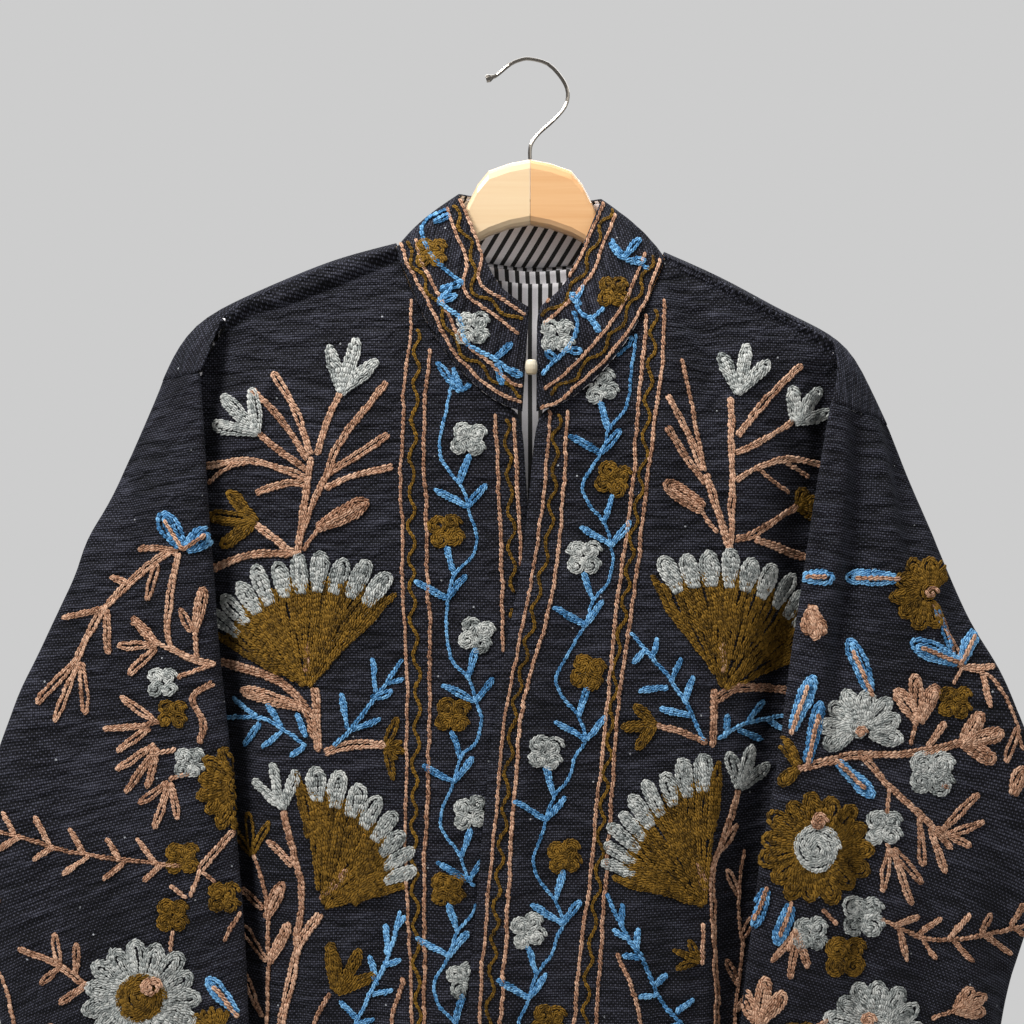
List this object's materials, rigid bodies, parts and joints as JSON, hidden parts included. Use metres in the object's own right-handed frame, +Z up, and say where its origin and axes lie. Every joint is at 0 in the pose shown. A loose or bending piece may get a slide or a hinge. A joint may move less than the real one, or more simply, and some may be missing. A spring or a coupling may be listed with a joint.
{
  "type": "suzani jacket on a wooden hanger",
  "caption": "Open stand-collar jacket with wide dropped sleeves folding over the fronts, embroidered all over, hung nearly flat on a wooden hanger with a wire hook.",
  "frame": {"origin": "inner top of the hanger's hook, where it hangs on a rail or nail", "axes": "+Z up, the jacket's fronts face -Y, the wearer's left is +X"},
  "size_m": [0.8538, 0.1041, 0.8902],
  "materials": {
    "jacket_cloth": "coarse slub weave, matte",
    "striped_lining": "plain weave with black stripes",
    "bead": "polished",
    "hanger_wood": "clear lacquer",
    "hanger_steel": "polished"
  },
  "bodies": {
    "root": {"back": "jacket_cloth", "front_right": "jacket_cloth", "front_left": "jacket_cloth", "sleeve_right": "jacket_cloth", "sleeve_left": "jacket_cloth", "collar": "jacket_cloth", "collar_lining": "striped_lining", "back_lining": "striped_lining", "bead_button": "bead", "hanger_arm_left": "hanger_wood", "hanger_arm_right": "hanger_wood", "hanger_hook": "hanger_steel"}
  },
  "joints": []
}
